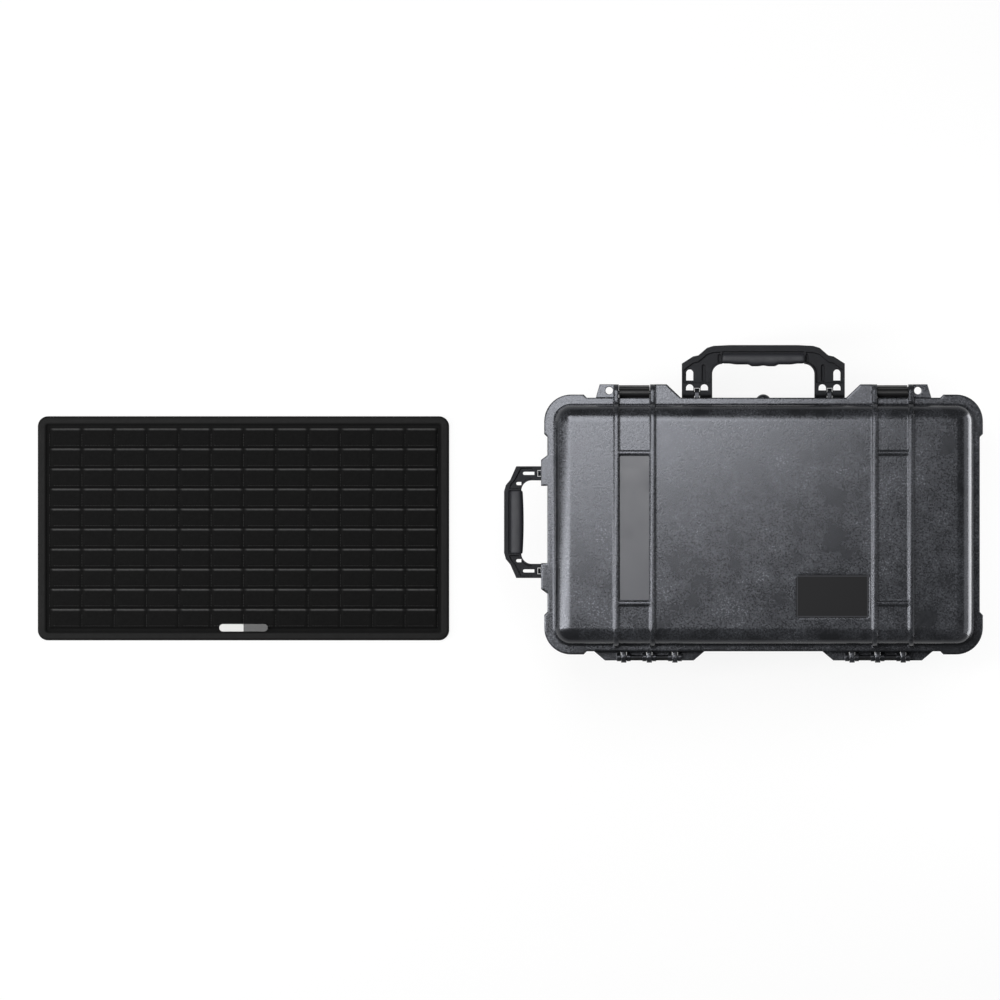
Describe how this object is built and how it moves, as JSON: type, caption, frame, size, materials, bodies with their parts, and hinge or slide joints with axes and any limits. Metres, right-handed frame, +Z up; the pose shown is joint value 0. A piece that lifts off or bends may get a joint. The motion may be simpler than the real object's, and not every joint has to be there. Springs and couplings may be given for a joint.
{
  "type": "wheeled equipment case with grid panel",
  "caption": "Wheeled hard equipment case with hinged lid, lever latches, folding handles and a pull handle, lying beside its framed lid panel with a grid of sewn webbing.",
  "frame": {"origin": "middle of the kit's bounding box, on the surface that the case and the panel lie on", "axes": "+X along the kit from the panel to the case, +Y to the case front with its latches and handle, +Z up"},
  "size_m": [1.203, 0.4034, 0.229],
  "materials": {
    "shell": "pebbled moulded black",
    "latch": "smooth moulded black",
    "rubber": "soft matt black",
    "tyre": "matt black",
    "steel": "brushed",
    "tube": "satin",
    "fitting": "smooth dark grey",
    "plate": "smooth satin grey",
    "label": "satin black",
    "rim": "smooth matt black",
    "board": "matt black",
    "webbing": "woven black",
    "badge": "bare two-tone"
  },
  "bodies": {
    "base": {"base_shell": "shell", "base_padlock_ears": "shell", "hinge_pin_left": "steel", "hinge_pin_right": "steel", "valve_body": "shell", "valve_nut": "fitting", "front_handle_pins": "steel", "side_handle_pins": "steel", "tube_guides": "fitting", "rail_strips": "shell", "rail_screws": "steel", "wheel_axles": "steel"},
    "lid": {"lid_shell": "shell", "lid_padlock_ears": "shell", "lid_seal": "rubber", "lid_plate": "plate", "label_plate": "label", "latch_pin_left": "steel", "latch_pin_right": "steel"},
    "latch_left": {"latch_lever_left": "latch"},
    "latch_right": {"latch_lever_right": "latch"},
    "front_handle": {"front_handle_frame": "shell", "front_handle_grip": "rubber"},
    "side_handle": {"side_handle_frame": "shell", "side_handle_grip": "rubber"},
    "pull_handle": {"pull_grip": "rubber", "pull_tube_front": "tube", "pull_tube_back": "tube", "tube_end_blocks": "fitting"},
    "wheel_front": {"wheel_tyre_front": "tyre", "wheel_hub_front": "fitting", "wheel_bush_front": "steel"},
    "wheel_back": {"wheel_tyre_back": "tyre", "wheel_hub_back": "fitting", "wheel_bush_back": "steel"},
    "grid_panel": {"panel_rim": "rim", "panel_board": "board", "panel_badge": "badge", "webbing_row_1": "webbing", "webbing_row_2": "webbing", "webbing_row_3": "webbing", "webbing_row_4": "webbing", "webbing_row_5": "webbing", "webbing_row_6": "webbing", "webbing_row_7": "webbing", "webbing_row_8": "webbing", "webbing_row_9": "webbing", "webbing_row_10": "webbing"}
  },
  "joints": [
    {"name": "lid_hinge", "type": "hinge", "parent": "base", "child": "lid", "pos_m": [0.323, -0.19475, 0.17815], "axis": [1, 0, 0], "range_deg": [0, 110]},
    {"name": "latch_left_swing", "type": "hinge", "parent": "lid", "child": "latch_left", "pos_m": [0.159, 0.14125, 0.191], "axis": [1, 0, 0], "range_deg": [0, 100]},
    {"name": "latch_right_swing", "type": "hinge", "parent": "lid", "child": "latch_right", "pos_m": [0.487, 0.14125, 0.191], "axis": [1, 0, 0], "range_deg": [0, 100]},
    {"name": "front_handle_fold", "type": "hinge", "parent": "base", "child": "front_handle", "pos_m": [0.323, 0.13975, 0.152], "axis": [-1, 0, 0], "range_deg": [0, 90]},
    {"name": "side_handle_fold", "type": "hinge", "parent": "base", "child": "side_handle", "pos_m": [0.0435, -0.02325, 0.152], "axis": [0, -1, 0], "range_deg": [0, 90]},
    {"name": "pull_handle_slide", "type": "slide", "parent": "base", "child": "pull_handle", "axis": [-1, 0, 0], "range_m": [0, 0.38]},
    {"name": "wheel_front_spin", "type": "hinge", "parent": "base", "child": "wheel_front", "pos_m": [0.5638, 0.09975, 0.032], "axis": [0, 1, 0], "continuous": true},
    {"name": "wheel_back_spin", "type": "hinge", "parent": "base", "child": "wheel_back", "pos_m": [0.5638, -0.15225, 0.032], "axis": [0, 1, 0], "continuous": true},
    {"name": "panel_lift", "type": "slide", "parent": "base", "child": "grid_panel", "axis": [0, 0, 1], "range_m": [0, 0.3]}
  ]
}
